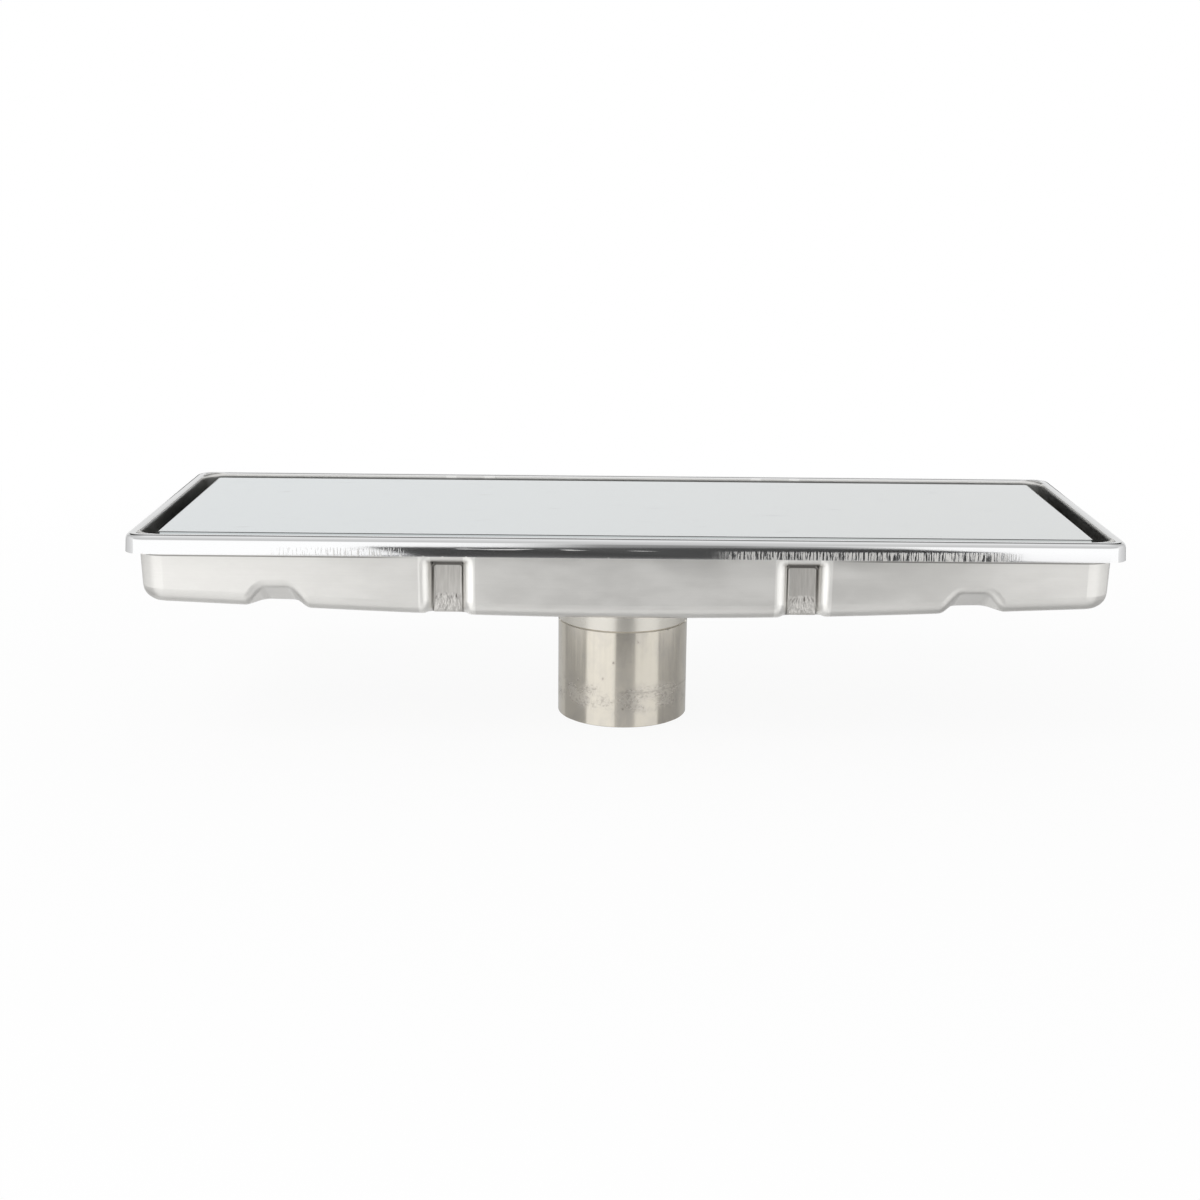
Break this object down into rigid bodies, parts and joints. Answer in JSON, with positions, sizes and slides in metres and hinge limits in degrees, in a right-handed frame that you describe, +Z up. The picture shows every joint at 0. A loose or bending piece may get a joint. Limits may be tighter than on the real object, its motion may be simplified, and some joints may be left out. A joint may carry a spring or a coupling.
{
  "type": "linear shower drain",
  "caption": "Long stainless steel floor drain: drawn channel with rolled rim and sloped floor, lift-out plain cover with a water gap all round, hair strainer and welded outlet tube.",
  "frame": {"origin": "centre of the outlet tube's foot, the lowest point of the drain", "axes": "+X along the channel, +Y across it, +Z up towards the cover"},
  "size_m": [0.3, 0.11, 0.0692],
  "materials": {
    "channel_steel": "satin drawn walls, polished rim",
    "tube_steel": "plain drawn tube, lightly scratched",
    "cover_steel": "smooth, bright",
    "strainer_steel": "satin"
  },
  "bodies": {
    "root": {"channel_tray": "channel_steel", "outlet_tube": "tube_steel", "cover_panel": "cover_steel", "hair_strainer": "strainer_steel"}
  },
  "joints": []
}
